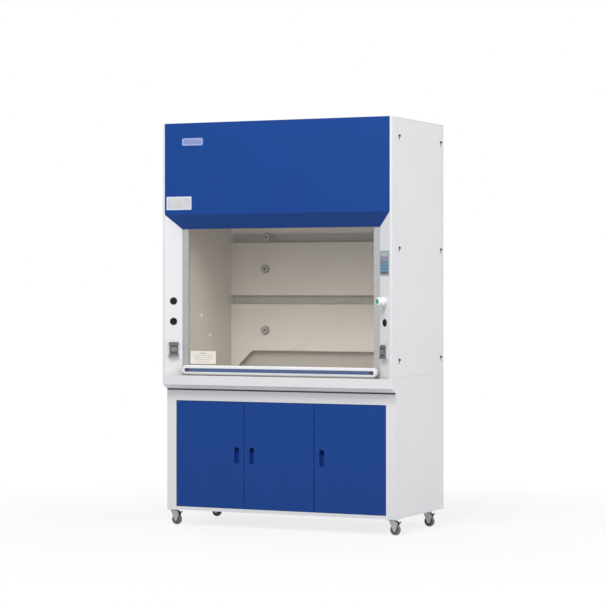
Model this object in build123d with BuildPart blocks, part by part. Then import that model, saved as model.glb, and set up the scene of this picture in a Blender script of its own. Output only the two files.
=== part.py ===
from build123d import *
import math
import os

# Ducted fume hood on castors: a sheet-steel hood over a worktop and a base cupboard.
# X runs across the front, Y from front to back and Z up from the floor. The origin is
# on the floor, midway across the width and midway between front and back.

# Overall sizes
hood_width = 1456.0
hood_depth = 782.0
total_height = 2350.0
castor_height = 90.0
base_height = 712.0
apron_height = 78.0
fascia_height = 532.0
roof_drop = 50.0
ceiling_drop = 65.0

# Sheet metal and fits
sheet = 2.0
heavy_sheet = 3.0
seat_gap = 0.3
running_gap = 0.05
seam = 1.0

# Castors
wheel_diameter = 62.0
wheel_width = 22.0
wheel_axle_diameter = 8.0
castor_trail = 16.0
castor_plate_size = 56.0
castor_plate_thickness = 3.0
castor_inset = 4.0
kingpin_diameter = 10.0
fork_thickness = 3.0
fork_gap = 3.0
fork_head_diameter = 42.0
front_castor_setback = 88.0
rear_castor_inset = 182.0
bearing_depth = 4.0
kingpin_head = 3.0
brake_pin_diameter = 5.0
brake_pin_ahead = 14.0
brake_pin_above = 36.0

# Base cupboard and doors
base_setback = 56.0
top_rail = 70.0
bottom_rail = 20.0
stile = 60.0
door_depth = 20.0
door_sheet = 1.5
door_gap = 1.5
hinge_inset = 8.0
hinge_pin_diameter = 6.0
hinge_pin_reach = 12.0
pin_head = 2.0
door_end_gap = 2.0
mullion_width = 30.0
mullion_depth = 24.0
pull_width = 30.0
pull_height = 95.0
pull_depth = 13.0
pull_edge = 32.0
pull_drop = 310.0

# Apron and worktop
apron_bevel_height = 24.0
apron_bevel_depth = 46.0
apron_return = 30.0
worktop_thickness = 25.0
worktop_dish = 6.0
worktop_rim = 28.0

# Hood shell
side_flange = 14.0
bevel_width = 84.0
bevel_depth = 60.0
flap_rise = 84.0
flap_return = 35.0
fascia_return = 20.0
rear_flange = 15.0
panel_front_setback = 72.0
panel_rear_setback = 30.0
panel_end_margin = 8.0
panel_ledge = 42.0
panel_lap = 6.0
screw_diameter = 5.0
screw_head_diameter = 13.0
screw_head_height = 8.0
screw_reach = 4.0
screw_front_inset = 30.0
screw_rear_inset = 17.0
screw_end_inset = 105.0
roof_flange = 20.0
duct_diameter = 250.0
duct_inset = 241.0
duct_flange = 25.0
collar_step = 2.0
collar_neck = 3.0

# Work chamber
liner_front_setback = 82.0
rear_liner_inset = 52.0
baffle_inset = 88.0
baffle_slot = 55.0
top_baffle_reach = 293.0
top_baffle_foot = 15.0
ceiling_setback = 101.0
notch_height = 130.0
notch_foot = 13.0
knob_diameter = 54.0
knob_thickness = 12.0
spacer_diameter = 60.0
spindle_diameter = 12.0
knob_inset = 233.0
spacer_inset = 242.0
lamp_end_margin = 80.0
lamp_rim = 12.0
lamp_width = 110.0
lamp_depth = 35.0
lamp_setback = 215.0

# Sash
glass_thickness = 6.0
glass_overlap = 26.0
glass_seat = 9.0
glass_setback = 70.0
glass_inset = 12.0
handle_lift = 4.0
handle_height = 55.0
handle_depth = 28.0
handle_end_gap = 8.0
strip_height = 21.0
strip_depth = 3.0
strip_end_margin = 22.0
clamp_height = 41.0
clamp_end_gap = 8.0
clamp_wall = 6.0
grip = 0.1
rail_height = 20.0
rail_wall = 5.0
ear_width = 17.0
ear_half = 6.0
track_width = 40.0
track_wall = 2.5
track_clearance = 0.5
pulley_radius = 25.0
pulley_width = 10.0
pulley_inset = 10.0
pulley_drop = 30.0
pulley_setback = 93.0
pulley_axle_diameter = 8.0
bracket_reach = 68.0
bracket_seat = 40.0
bracket_clearance = 6.5
cable_diameter = 3.0
weight_width = 50.0
weight_depth = 60.0
weight_height = 500.0
weight_drop = 68.0

# Services on the posts
panel_width = 96.0
panel_height = 137.0
panel_thickness = 5.0
plug_diameter = 43.0
plug_hole_diameter = 34.0
plug_dish_diameter = 24.0
valve_diameter = 48.0
valve_collar = 28.0
valve_tail_diameter = 24.0
valve_tail = 18.0
valve_spindle_diameter = 10.0
valve_spindle = 17.0
knob_neck_diameter = 35.0
knob_neck = 12.0
knob_end_diameter = 46.0
knob_end = 10.0
left_socket_width = 62.0
left_socket_height = 77.0
right_socket_width = 66.0
right_socket_height = 70.0
socket_depth = 10.0
socket_sink = 3.0
cover_thickness = 8.0
cover_wall = 2.0
cover_waist = 5.0
cover_flare = 12.0
cover_lip = 4.0
cover_pin_diameter = 4.0
cover_pin_rise = 4.0
ear_thickness = 3.0
ear_root = 1.0

# Heights of the services, as shares of the post from the worktop up to the fascia
panel_share = 0.693
valve_share = 0.463
upper_plug_share = 0.462
lower_plug_share = 0.335
socket_share = 0.157

# Heights of the flat baffles, as shares of the chamber from the worktop to the ceiling,
# and of the lower knobs, as a share of the lower baffle above its notch
lower_baffle_share = 0.3033
upper_baffle_share = 0.2347
lower_knob_share = 0.44
spacer_share = 0.6

# Levels and planes worked out from the sizes
half_width = hood_width / 2
front = -hood_depth / 2
back = hood_depth / 2
base_top = castor_height + base_height
worktop_top = base_top + apron_height
fascia_bottom = total_height - fascia_height
roof_top = total_height - roof_drop
ceiling = roof_top - ceiling_drop
chamber_half = half_width - side_flange - bevel_width
inner_flange = half_width - side_flange
base_front = front + base_setback
post_back = front + bevel_depth
liner_front = front + liner_front_setback
rear_liner_front = back - rear_liner_inset
baffle_front = back - baffle_inset
post_height = fascia_bottom - worktop_top
chamber_height = ceiling - worktop_top
flap_bottom = fascia_bottom - flap_rise

os.makedirs("parts", exist_ok=True)


def write(piece, name):
    """Label a finished piece and write it as a STEP file of the same name."""
    piece.part.label = name
    export_step(piece.part, "parts/" + name + ".step")


def span(x_low, x_high, y_low, y_high, mode=Mode.ADD):
    """Draw a rectangle between two corners in the sketch that is open."""
    with Locations(((x_low + x_high) / 2, (y_low + y_high) / 2)):
        Rectangle(x_high - x_low, y_high - y_low, mode=mode)


def front_plane(y, x=0.0, z=0.0):
    """A plane facing the front: its x runs across and its y runs up."""
    return Plane(origin=(x, y, z), x_dir=(1, 0, 0), z_dir=(0, -1, 0))


def side_plane(x, y=0.0, z=0.0):
    """A plane facing right: its x runs to the back and its y runs up."""
    return Plane(origin=(x, y, z), x_dir=(0, 1, 0), z_dir=(1, 0, 0))


def folded_section(points, thickness, side=Side.LEFT):
    """The section of a folded sheet whose outer face follows the points."""
    with BuildSketch() as section:
        with BuildLine():
            Polyline(*points)
            offset(amount=thickness, side=side, kind=Kind.INTERSECTION)
        make_face()
    return section.sketch


# Castors: four swivel castors with total-lock pedals. The plates are welded to the
# cupboard floor, each with its kingpin, and the wheels trail to the right.
wheel_radius = wheel_diameter / 2
castor_x = half_width - castor_plate_size / 2 - castor_inset
castor_places = {
    "front_left": (-castor_x, front + front_castor_setback),
    "front_right": (castor_x, front + front_castor_setback),
    "rear_left": (-castor_x, back - rear_castor_inset),
    "rear_right": (castor_x, back - rear_castor_inset),
}
castor_plate_bottom = castor_height - castor_plate_thickness
fork_top = castor_plate_bottom - bearing_depth - seat_gap
fork_bottom = fork_top - fork_thickness

with BuildPart() as castor_plates:
    with BuildSketch(Plane.XY.offset(castor_plate_bottom)):
        with Locations(*castor_places.values()):
            RectangleRounded(castor_plate_size, castor_plate_size, 5)
    extrude(amount=castor_plate_thickness)
    with BuildSketch(Plane.XY.offset(castor_plate_bottom - bearing_depth)):
        with Locations(*castor_places.values()):
            Circle(fork_head_diameter / 2 - 3)
    extrude(amount=bearing_depth)
    with BuildSketch(Plane.XY.offset(fork_bottom - seat_gap)):
        with Locations(*castor_places.values()):
            Circle(kingpin_diameter / 2)
    extrude(amount=castor_plate_bottom - fork_bottom + seat_gap)
    with BuildSketch(Plane.XY.offset(fork_bottom - seat_gap - kingpin_head)):
        with Locations(*castor_places.values()):
            Circle(kingpin_diameter / 2 + 3)
    extrude(amount=kingpin_head)
write(castor_plates, "castor_plates")

cheek_inner = wheel_width / 2 + fork_gap
cheek_outer = cheek_inner + fork_thickness
brake_pin_x = castor_trail + brake_pin_ahead
brake_pin_z = wheel_radius + brake_pin_above


def castor_fork(name, place):
    """Pressed steel fork with its riveted wheel axle."""
    x, y = place
    with BuildPart() as fork:
        with BuildSketch(Plane(origin=(x, y, fork_bottom))):
            Circle(fork_head_diameter / 2)
            Circle(kingpin_diameter / 2 + running_gap, mode=Mode.SUBTRACT)
        extrude(amount=fork_thickness)
        for side in (-1, 1):
            with BuildSketch(front_plane(y + side * cheek_inner, x)):
                Polygon(
                    (-fork_head_diameter / 2 + 4, fork_top),
                    (fork_head_diameter / 2 - 2, fork_top),
                    (brake_pin_x + 6, brake_pin_z + 3),
                    (brake_pin_x + 6, brake_pin_z - 4),
                    (castor_trail + 10, wheel_radius),
                    (castor_trail - 10, wheel_radius),
                    align=None,
                )
                with Locations((castor_trail, wheel_radius)):
                    Circle(10)
                with Locations((brake_pin_x, brake_pin_z)):
                    Circle(brake_pin_diameter / 2 + running_gap, mode=Mode.SUBTRACT)
            extrude(amount=-side * fork_thickness)
        with BuildSketch(front_plane(y + cheek_outer + 2, x, wheel_radius)):
            with Locations((castor_trail, 0)):
                Circle(wheel_axle_diameter / 2)
        extrude(amount=2 * cheek_outer + 4)
        for end in (cheek_outer + 2, -cheek_outer):
            with BuildSketch(front_plane(y + end, x, wheel_radius)):
                with Locations((castor_trail, 0)):
                    Circle(wheel_axle_diameter / 2 + 2)
            extrude(amount=2)
    write(fork, "castor_fork_" + name)


def castor_wheel(name, place):
    """Grey moulded wheel with a dark crowned tread, turned about its axle."""
    x, y = place
    hub = wheel_width / 2 + 1.5
    rim = wheel_width / 2
    bore = wheel_axle_diameter / 2 + running_gap
    with BuildPart() as wheel:
        with BuildSketch(side_plane(x + castor_trail, y, wheel_radius)):
            with BuildLine():
                Polyline(
                    (rim, wheel_radius - 4),
                    (rim, wheel_radius - 10),
                    (5, wheel_radius - 13),
                    (5, bore + 8),
                    (hub, bore + 6),
                    (hub, bore),
                    (-hub, bore),
                    (-hub, bore + 6),
                    (-5, bore + 8),
                    (-5, wheel_radius - 13),
                    (-rim, wheel_radius - 10),
                    (-rim, wheel_radius - 4),
                )
                ThreePointArc((-rim, wheel_radius - 4), (0, wheel_radius), (rim, wheel_radius - 4))
            make_face()
        revolve(axis=Axis((x + castor_trail, y, wheel_radius), (0, 1, 0)))
    write(wheel, "castor_wheel_" + name)


def castor_brake(name, place):
    """Pressed brake pedal that turns on its own cross pin in the fork."""
    x, y = place
    pedal_half = cheek_inner - seat_gap
    with BuildPart() as brake:
        with BuildSketch(front_plane(y + cheek_outer, x)):
            with Locations((brake_pin_x, brake_pin_z)):
                Circle(brake_pin_diameter / 2)
        extrude(amount=2 * cheek_outer)
        with BuildSketch(front_plane(y + pedal_half, x)):
            with Locations((brake_pin_x, brake_pin_z)):
                Circle(brake_pin_diameter / 2 + 2)
            Polygon(
                (brake_pin_x - 1, brake_pin_z + 4.4),
                (brake_pin_x + 3, brake_pin_z - 3.4),
                (brake_pin_x + 18, brake_pin_z + 7),
                (brake_pin_x + 17, brake_pin_z + 11),
                align=None,
            )
        extrude(amount=2 * pedal_half)
    write(brake, "castor_brake_" + name)


for corner, place in castor_places.items():
    castor_fork(corner, place)
    castor_wheel(corner, place)
    castor_brake(corner, place)


# Base cupboard: a folded and welded carcass with a front frame round three doors and
# two mullions behind the joints between them.
door_names = ["door_left", "door_middle", "door_right"]
hinge_sides = ["left", "right", "right"]
opening_half = half_width - stile
opening_bottom = castor_height + bottom_rail
opening_top = base_top - top_rail
door_pitch = 2 * opening_half / len(door_names)
mullion_front = base_front + door_depth + 4
return_depth = door_depth + 6
hinge_y = base_front + hinge_inset
door_edges = [-opening_half + number * door_pitch for number in range(len(door_names) + 1)]
hinge_offset = door_gap + hinge_inset
hinge_places = []
for number, hung in enumerate(hinge_sides):
    if hung == "left":
        hinge_places.append((door_edges[number] + hinge_offset, hinge_y))
    else:
        hinge_places.append((door_edges[number + 1] - hinge_offset, hinge_y))

with BuildPart() as base_carcass:
    with BuildSketch(Plane.XY.offset(castor_height)):
        span(-half_width, half_width, base_front, back)
    extrude(amount=heavy_sheet)
    with BuildSketch(Plane.XY.offset(castor_height)):
        span(-half_width, half_width, base_front, back)
        span(-half_width + sheet, half_width - sheet, base_front, back - sheet, mode=Mode.SUBTRACT)
    extrude(amount=base_height)
    with BuildSketch(front_plane(base_front)):
        span(-half_width, half_width, castor_height, base_top)
        span(-opening_half, opening_half, opening_bottom, opening_top, mode=Mode.SUBTRACT)
    extrude(amount=-sheet)
    with BuildSketch(front_plane(base_front)):
        span(-opening_half - sheet, opening_half + sheet, opening_bottom - sheet, opening_top + sheet)
        span(-opening_half, opening_half, opening_bottom, opening_top, mode=Mode.SUBTRACT)
    extrude(amount=-return_depth)
    with BuildSketch(Plane.XY.offset(castor_height)):
        for edge in door_edges[1:-1]:
            span(edge - mullion_width / 2, edge + mullion_width / 2,
                 mullion_front, mullion_front + mullion_depth)
            span(edge - mullion_width / 2 + sheet, edge + mullion_width / 2 - sheet,
                 mullion_front + sheet, mullion_front + mullion_depth, mode=Mode.SUBTRACT)
    extrude(amount=base_height - top_rail / 2)
    for level in (opening_top, opening_bottom - sheet):
        with BuildSketch(Plane.XY.offset(level)):
            with Locations(*hinge_places):
                Circle(hinge_pin_diameter / 2 + running_gap)
        extrude(amount=sheet, mode=Mode.SUBTRACT)
write(base_carcass, "base_carcass")

# Hinge pins: headed steel pins pushed through the frame into the doors, two to a door.
door_bottom = opening_bottom + door_end_gap
door_top = opening_top - door_end_gap
hinge_boss = hinge_pin_reach + door_sheet

with BuildPart() as door_hinge_pins:
    with BuildSketch(Plane.XY.offset(door_top - hinge_pin_reach)):
        with Locations(*hinge_places):
            Circle(hinge_pin_diameter / 2)
    extrude(amount=hinge_pin_reach + door_end_gap + sheet)
    with BuildSketch(Plane.XY.offset(opening_top + sheet)):
        with Locations(*hinge_places):
            Circle(hinge_pin_diameter / 2 + 2)
    extrude(amount=pin_head)
    with BuildSketch(Plane.XY.offset(opening_bottom - sheet)):
        with Locations(*hinge_places):
            Circle(hinge_pin_diameter / 2)
    extrude(amount=hinge_pin_reach + door_end_gap + sheet)
    with BuildSketch(Plane.XY.offset(opening_bottom - sheet - pin_head)):
        with Locations(*hinge_places):
            Circle(hinge_pin_diameter / 2 + 2)
    extrude(amount=pin_head)
write(door_hinge_pins, "door_hinge_pins")


def door(name, low_edge, high_edge, hung, hinge_place):
    """Blue door: a folded pan with a rolled hinge edge and a pressed finger pull."""
    x_low = low_edge + door_gap
    x_high = high_edge - door_gap
    hinge_corner = x_low if hung == "left" else x_high
    pull_x = x_high - pull_edge - pull_width / 2 if hung == "left" else x_low + pull_edge + pull_width / 2
    pull_z = door_top - pull_drop
    with BuildPart() as pan:
        with BuildSketch(Plane.XY.offset(door_bottom)) as outside:
            span(x_low, x_high, base_front, base_front + door_depth)
            fillet(outside.vertices().sort_by_distance((hinge_corner, base_front))[0], hinge_inset)
        extrude(amount=door_top - door_bottom)
        with BuildSketch(Plane.XY.offset(door_bottom + door_sheet)) as inside:
            span(x_low + door_sheet, x_high - door_sheet,
                 base_front + door_sheet, base_front + door_depth)
            fillet(inside.vertices().sort_by_distance((hinge_corner, base_front))[0],
                   hinge_inset - door_sheet)
        extrude(amount=door_top - door_bottom - 2 * door_sheet, mode=Mode.SUBTRACT)
        for level in (door_bottom + door_sheet, door_top - door_sheet - hinge_pin_reach):
            with BuildSketch(Plane.XY.offset(level)):
                with Locations(hinge_place):
                    Circle(hinge_inset - 1)
            extrude(amount=hinge_pin_reach)
        for level in (door_bottom, door_top - hinge_pin_reach - seat_gap):
            with BuildSketch(Plane.XY.offset(level)):
                with Locations(hinge_place):
                    Circle(hinge_pin_diameter / 2 + running_gap)
            extrude(amount=hinge_pin_reach + seat_gap, mode=Mode.SUBTRACT)
        with BuildSketch(front_plane(base_front, pull_x, pull_z)):
            RectangleRounded(pull_width + 2 * door_sheet, pull_height + 2 * door_sheet, 13)
        extrude(amount=-pull_depth - door_sheet)
        with BuildSketch(front_plane(base_front, pull_x, pull_z)):
            RectangleRounded(pull_width, pull_height, 12)
        extrude(amount=-pull_depth, mode=Mode.SUBTRACT)
    write(pan, name)


for number, name in enumerate(door_names):
    door(name, door_edges[number], door_edges[number + 1], hinge_sides[number], hinge_places[number])


# Apron: a folded steel tray without a floor, which carries the worktop on a ledge. Its
# front overhangs the cupboard, and a long bevel leads from it back to the doors.
with BuildPart() as worktop_apron:
    with BuildSketch(Plane.XY.offset(base_top)):
        span(-half_width, half_width, front, back)
    extrude(amount=apron_height)
    chamfer(
        worktop_apron.edges().group_by(Axis.Z)[0].sort_by(Axis.Y)[0],
        length=apron_bevel_height,
        length2=apron_bevel_depth,
        reference=worktop_apron.faces().sort_by(Axis.Y)[0],
    )
    offset(amount=-sheet, openings=worktop_apron.faces().sort_by(Axis.Z)[-1])
    with BuildSketch(Plane.XY.offset(base_top)):
        span(-half_width + apron_return, half_width - apron_return,
             base_front + apron_return, back - apron_return)
    extrude(amount=sheet, mode=Mode.SUBTRACT)
    with BuildSketch(Plane.XY.offset(worktop_top - worktop_thickness - sheet)):
        span(-half_width + sheet, half_width - sheet, front + sheet, back - sheet)
        span(-half_width + apron_return, half_width - apron_return,
             front + apron_return, back - apron_return, mode=Mode.SUBTRACT)
    extrude(amount=sheet)
write(worktop_apron, "worktop_apron")

# Worktop: a cast slab with a dished floor that holds back spills.
with BuildPart() as worktop:
    with BuildSketch(Plane.XY.offset(worktop_top - worktop_thickness)):
        Rectangle(hood_width - 2 * sheet - 2 * seat_gap, hood_depth - 2 * sheet - 2 * seat_gap)
    extrude(amount=worktop_thickness)
    dish_front = liner_front + worktop_rim
    dish_back = baffle_front - worktop_rim
    with BuildSketch(Plane.XY.offset(worktop_top)):
        with Locations((0, (dish_front + dish_back) / 2)):
            RectangleRounded(2 * chamber_half - 2 * worktop_rim, dish_back - dish_front, 25)
    extrude(amount=-worktop_dish, taper=30, mode=Mode.SUBTRACT)
write(worktop, "worktop")


# Hood sides: a folded sheet frame each, open where the access panel lies on a ledge
# welded behind the opening, with a front flange beside the fascia and a rear flange.
panel_front = front + panel_front_setback
panel_back = back - panel_rear_setback
panel_bottom = worktop_top + panel_end_margin
panel_top = total_height - panel_end_margin
screw_places = [
    (y, z)
    for y in (panel_front + screw_front_inset, panel_back - screw_rear_inset)
    for z in (
        worktop_top + screw_end_inset,
        (worktop_top + total_height) / 2,
        total_height - screw_end_inset,
    )
]


def hood_side(name, side):
    """Side frame with its ledge and flanges; side is -1 on the left and 1 on the right."""
    outer = side * half_width
    with BuildPart() as frame:
        with BuildSketch(side_plane(outer)):
            span(front, back, worktop_top, total_height)
            span(panel_front, panel_back, panel_bottom, panel_top, mode=Mode.SUBTRACT)
        extrude(amount=-side * sheet)
        with BuildSketch(side_plane(outer - side * sheet)):
            span(panel_front - panel_lap, panel_back + panel_lap,
                 panel_bottom - panel_lap, panel_top + panel_lap)
            span(panel_front + panel_ledge, panel_back - panel_ledge,
                 panel_bottom + panel_ledge, panel_top - panel_ledge, mode=Mode.SUBTRACT)
            with Locations(*screw_places):
                Circle(screw_diameter / 2 + running_gap, mode=Mode.SUBTRACT)
        extrude(amount=-side * sheet)
        with BuildSketch(Plane.XY.offset(worktop_top)):
            span(*sorted((side * inner_flange, outer)), front, front + sheet)
            span(*sorted((outer - side * (sheet + rear_flange), outer)),
                 back - 2 * sheet, back - sheet)
        extrude(amount=total_height - worktop_top)
    write(frame, name)


def access_panel(name, side):
    """Flush service panel that lies on the ledge of its side frame."""
    outer = side * half_width
    with BuildPart() as plate:
        with BuildSketch(side_plane(outer)):
            span(panel_front + seam, panel_back - seam, panel_bottom + seam, panel_top - seam)
            with Locations(*screw_places):
                Circle(screw_diameter / 2 + running_gap, mode=Mode.SUBTRACT)
        extrude(amount=-side * sheet)
    write(plate, name)


for side, side_name in ((-1, "left"), (1, "right")):
    hood_side("hood_side_" + side_name, side)
    access_panel("access_panel_" + side_name, side)

# Panel screws: tall black heads with short shanks through panel and ledge.
with BuildPart() as panel_screws:
    for side in (-1, 1):
        with BuildSketch(side_plane(side * half_width)):
            with Locations(*screw_places):
                Circle(screw_head_diameter / 2)
        extrude(amount=side * screw_head_height, taper=5)
        with BuildSketch(side_plane(side * half_width)):
            with Locations(*screw_places):
                Circle(screw_diameter / 2)
        extrude(amount=-side * (2 * sheet + screw_reach))
write(panel_screws, "panel_screws")

# Hood back: one sheet on the rear flanges of the side frames.
with BuildPart() as hood_back:
    with BuildSketch(front_plane(back - sheet)):
        span(-half_width + sheet + seat_gap, half_width - sheet - seat_gap, worktop_top, total_height)
    extrude(amount=-sheet)
write(hood_back, "hood_back")

# Hood roof: a folded tray with its edges turned up, sunk below the rim of the hood.
duct_radius = duct_diameter / 2
collar_radius = duct_radius - collar_step
duct_y = back - duct_inset
roof_half = half_width - 2 * sheet - seat_gap
with BuildPart() as hood_roof:
    with BuildSketch(Plane.XY.offset(roof_top - sheet)):
        span(-roof_half, roof_half, front + sheet + seat_gap, back - 2 * sheet - seat_gap)
    extrude(amount=sheet + roof_flange)
    offset(amount=-sheet, openings=hood_roof.faces().sort_by(Axis.Z)[-1])
    with BuildSketch(Plane.XY.offset(roof_top - sheet)):
        with Locations((0, duct_y)):
            Circle(collar_radius + seat_gap)
    extrude(amount=sheet, mode=Mode.SUBTRACT)
write(hood_roof, "hood_roof")

# Duct collar: a spun spigot that hangs by its flange on the roof. Below the flange it is
# a step smaller and goes through roof and ceiling, and above it the duct is clamped.
with BuildPart() as duct_collar:
    flange_top = roof_top + sheet
    with BuildSketch(front_plane(duct_y)):
        Polygon(
            (collar_radius, ceiling),
            (collar_radius, roof_top),
            (duct_radius + duct_flange, roof_top),
            (duct_radius + duct_flange, flange_top),
            (duct_radius - sheet / 2, flange_top),
            (duct_radius - sheet / 2, flange_top + collar_neck),
            (duct_radius, flange_top + collar_neck),
            (duct_radius, total_height),
            (duct_radius - sheet, total_height),
            (duct_radius - sheet, flange_top + collar_neck),
            (collar_radius - sheet, roof_top),
            (collar_radius - sheet, ceiling),
            align=None,
        )
    revolve(axis=Axis((0, duct_y, 0), (0, 0, 1)))
write(duct_collar, "duct_collar")

# Fascia: one sheet folded back at the top and in under itself over the sash, with its
# lower corners mitred against the posts.
fascia_half = inner_flange - seat_gap
flap_slope = flap_rise / bevel_depth
with BuildPart() as fascia:
    with BuildSketch(side_plane(-fascia_half)):
        add(folded_section(
            [
                (front + fascia_return, total_height),
                (front, total_height),
                (front, fascia_bottom),
                (post_back, flap_bottom),
                (post_back, flap_bottom + flap_return),
            ],
            sheet,
        ))
    extrude(amount=2 * fascia_half)
    with BuildSketch(front_plane(front - 1)):
        for side in (-1, 1):
            Polygon(
                (side * inner_flange, fascia_bottom),
                (side * chamber_half, flap_bottom),
                (side * chamber_half, flap_bottom - 10),
                (side * (inner_flange + 10), flap_bottom - 10),
                (side * (inner_flange + 10), fascia_bottom),
                align=None,
            )
    extrude(amount=-bevel_depth - 5, mode=Mode.SUBTRACT)
write(fascia, "fascia")


# Posts: folded channels with a bevelled face between the side flange and the chamber,
# cut at the top to meet the fascia along its mitre.
def post_face(side, x):
    """The bevelled face of one post at a place given by its x, facing out of the sheet."""
    run = fascia_half - chamber_half
    along = (fascia_half - abs(x)) / run
    length = math.hypot(run, bevel_depth)
    normal = (-side * bevel_depth / length, -run / length, 0)
    across = (run / length, -side * bevel_depth / length, 0)
    return Plane(origin=(x, front + along * bevel_depth, 0), x_dir=across, z_dir=normal)


bevel_middle = (fascia_half + chamber_half) / 2
upper_plug_z = worktop_top + post_height * upper_plug_share
lower_plug_z = worktop_top + post_height * lower_plug_share
valve_z = worktop_top + post_height * valve_share
panel_z = worktop_top + post_height * panel_share
socket_z = worktop_top + post_height * socket_share
plug_places = {-1: [upper_plug_z, lower_plug_z], 1: [lower_plug_z]}
valve_hole_radius = valve_tail_diameter / 2 + running_gap


def post(name, side):
    """Post channel with the holes for its plugs and its valve."""
    fold = [
        (side * fascia_half, front + apron_return),
        (side * fascia_half, front),
        (side * chamber_half, post_back),
        (side * chamber_half, post_back + 20),
    ]
    with BuildPart() as channel:
        with BuildSketch(Plane.XY.offset(worktop_top)):
            add(folded_section(fold, sheet, Side.LEFT if side < 0 else Side.RIGHT))
        extrude(amount=fascia_bottom - worktop_top)
        with BuildSketch(side_plane(-half_width)):
            Polygon(
                (front - 10, fascia_bottom + 10 * flap_slope),
                (front + 100, fascia_bottom - 100 * flap_slope),
                (front + 100, fascia_bottom + 50),
                (front - 10, fascia_bottom + 50),
                align=None,
            )
        extrude(amount=hood_width, mode=Mode.SUBTRACT)
        with BuildSketch(post_face(side, side * bevel_middle)):
            for level in plug_places[side]:
                with Locations((0, level)):
                    Circle(plug_hole_diameter / 2 + running_gap)
            if side > 0:
                with Locations((0, valve_z)):
                    Circle(valve_hole_radius)
        extrude(amount=-2 * sheet, both=True, mode=Mode.SUBTRACT)
    write(channel, name)


post("post_left", -1)
post("post_right", 1)


# Work chamber: liners, ceiling and baffles of smooth board.
liner_top = ceiling
liner_back = rear_liner_front + heavy_sheet


def liner(name, side):
    """Side liner, from behind the sash to the rear liner."""
    with BuildPart() as board:
        with BuildSketch(side_plane(side * chamber_half)):
            span(liner_front, rear_liner_front, worktop_top, liner_top)
        extrude(amount=side * heavy_sheet)
    write(board, name)


liner("liner_left", -1)
liner("liner_right", 1)

with BuildPart() as rear_liner:
    with BuildSketch(front_plane(rear_liner_front)):
        span(-chamber_half - heavy_sheet, chamber_half + heavy_sheet, worktop_top, liner_top)
    extrude(amount=-heavy_sheet)
write(rear_liner, "rear_liner")

# Ceiling: lies on the liners, with an opening for the duct and one for the lamp.
lamp_y = front + lamp_setback
lamp_length = 2 * (chamber_half - lamp_end_margin)
ceiling_front = front + ceiling_setback
with BuildPart() as ceiling_board:
    with BuildSketch(Plane.XY.offset(ceiling)):
        span(-chamber_half - heavy_sheet, chamber_half + heavy_sheet, ceiling_front, liner_back)
        with Locations((0, duct_y)):
            Circle(collar_radius + seat_gap, mode=Mode.SUBTRACT)
        span(-lamp_length / 2, lamp_length / 2, lamp_y - lamp_width / 2, lamp_y + lamp_width / 2,
             mode=Mode.SUBTRACT)
    extrude(amount=heavy_sheet)
write(ceiling_board, "ceiling")

# Lamp: a sealed housing that drops into its opening and hangs by its rim.
with BuildPart() as lamp:
    with BuildSketch(Plane.XY.offset(ceiling)):
        with Locations((0, lamp_y)):
            RectangleRounded(lamp_length - 2 * seat_gap, lamp_width - 2 * seat_gap, 4)
    extrude(amount=heavy_sheet)
    with BuildSketch(Plane.XY.offset(ceiling + heavy_sheet)):
        with Locations((0, lamp_y)):
            RectangleRounded(lamp_length + 2 * lamp_rim, lamp_width + 2 * lamp_rim, 6)
    extrude(amount=heavy_sheet)
    with BuildSketch(Plane.XY.offset(ceiling + 2 * heavy_sheet)):
        with Locations((0, lamp_y)):
            Rectangle(lamp_length, lamp_width)
    extrude(amount=lamp_depth, taper=20)
write(lamp, "lamp")

# Baffles: the lower one stands on the worktop on two feet, the upper one hangs above a
# slot, and the top one leans forward from a second slot up to the ceiling.
baffle_half = chamber_half - seat_gap
lower_baffle_height = chamber_height * lower_baffle_share
upper_baffle_height = chamber_height * upper_baffle_share
lower_baffle_top = worktop_top + lower_baffle_height
upper_baffle_bottom = lower_baffle_top + baffle_slot
upper_baffle_top = upper_baffle_bottom + upper_baffle_height
top_baffle_bottom = upper_baffle_top + baffle_slot
baffle_back = baffle_front + heavy_sheet
lower_knob_z = worktop_top + notch_height + (lower_baffle_height - notch_height) * lower_knob_share
upper_knob_z = upper_baffle_bottom + upper_baffle_height / 2
spacer_z = upper_baffle_top + baffle_slot * spacer_share
knob_spread = chamber_half - knob_inset
spacer_spread = chamber_half - spacer_inset
spindle_hole = spindle_diameter / 2 + running_gap

with BuildPart() as baffle_lower:
    with BuildSketch(front_plane(baffle_front)):
        span(-baffle_half, baffle_half, worktop_top, lower_baffle_top)
        foot_half = chamber_half - notch_foot
        Polygon(
            (-foot_half, worktop_top),
            (foot_half, worktop_top),
            (foot_half - notch_height, worktop_top + notch_height),
            (-foot_half + notch_height, worktop_top + notch_height),
            align=None,
            mode=Mode.SUBTRACT,
        )
        with Locations((-knob_spread, lower_knob_z), (knob_spread, lower_knob_z)):
            Circle(spindle_hole, mode=Mode.SUBTRACT)
    extrude(amount=-heavy_sheet)
write(baffle_lower, "baffle_lower")

with BuildPart() as baffle_upper:
    with BuildSketch(front_plane(baffle_front)):
        span(-baffle_half, baffle_half, upper_baffle_bottom, upper_baffle_top)
        with Locations((-knob_spread, upper_knob_z), (knob_spread, upper_knob_z)):
            Circle(spindle_hole, mode=Mode.SUBTRACT)
    extrude(amount=-heavy_sheet)
write(baffle_upper, "baffle_upper")

with BuildPart() as baffle_top:
    with BuildSketch(side_plane(-baffle_half)):
        add(folded_section(
            [
                (baffle_front, top_baffle_bottom),
                (baffle_front, top_baffle_bottom + top_baffle_foot),
                (baffle_front - top_baffle_reach, ceiling - seat_gap),
            ],
            heavy_sheet,
            Side.RIGHT,
        ))
    extrude(amount=2 * baffle_half)
    with BuildSketch(Plane.XY.offset(ceiling - seat_gap)):
        span(-half_width, half_width, front, back)
    extrude(amount=20, mode=Mode.SUBTRACT)
write(baffle_top, "baffle_top")

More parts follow.
